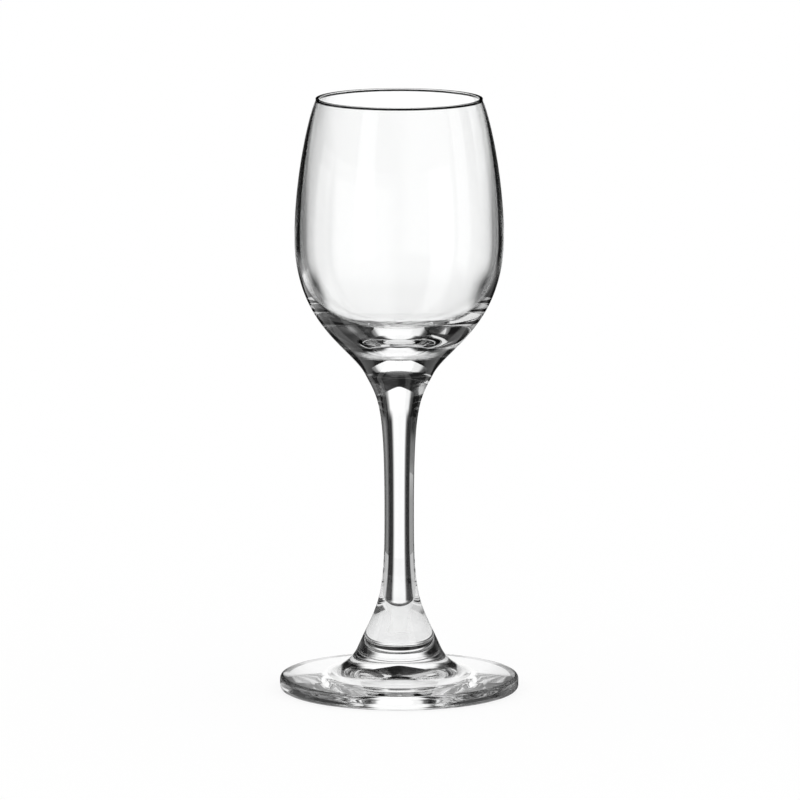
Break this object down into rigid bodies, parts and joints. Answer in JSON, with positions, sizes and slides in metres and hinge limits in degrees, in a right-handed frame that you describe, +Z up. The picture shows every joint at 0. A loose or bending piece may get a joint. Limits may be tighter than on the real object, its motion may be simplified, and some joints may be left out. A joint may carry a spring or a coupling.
{
  "type": "liqueur glass",
  "caption": "Small stemmed drinking glass with a tulip bowl, a drawn solid stem and a round foot, for serving liqueurs and other short drinks.",
  "frame": {"origin": "on the axis of the glass, in the plane that the foot rests on", "axes": "+Z up along the axis, from the foot to the lip; X and Y are alike, because every piece is turned about the axis"},
  "size_m": [0.0542, 0.0542, 0.135],
  "materials": {
    "clear_glass": "fire-polished, clear and colourless"
  },
  "bodies": {
    "root": {"foot": "clear_glass", "stem": "clear_glass", "bowl": "clear_glass"}
  },
  "joints": []
}
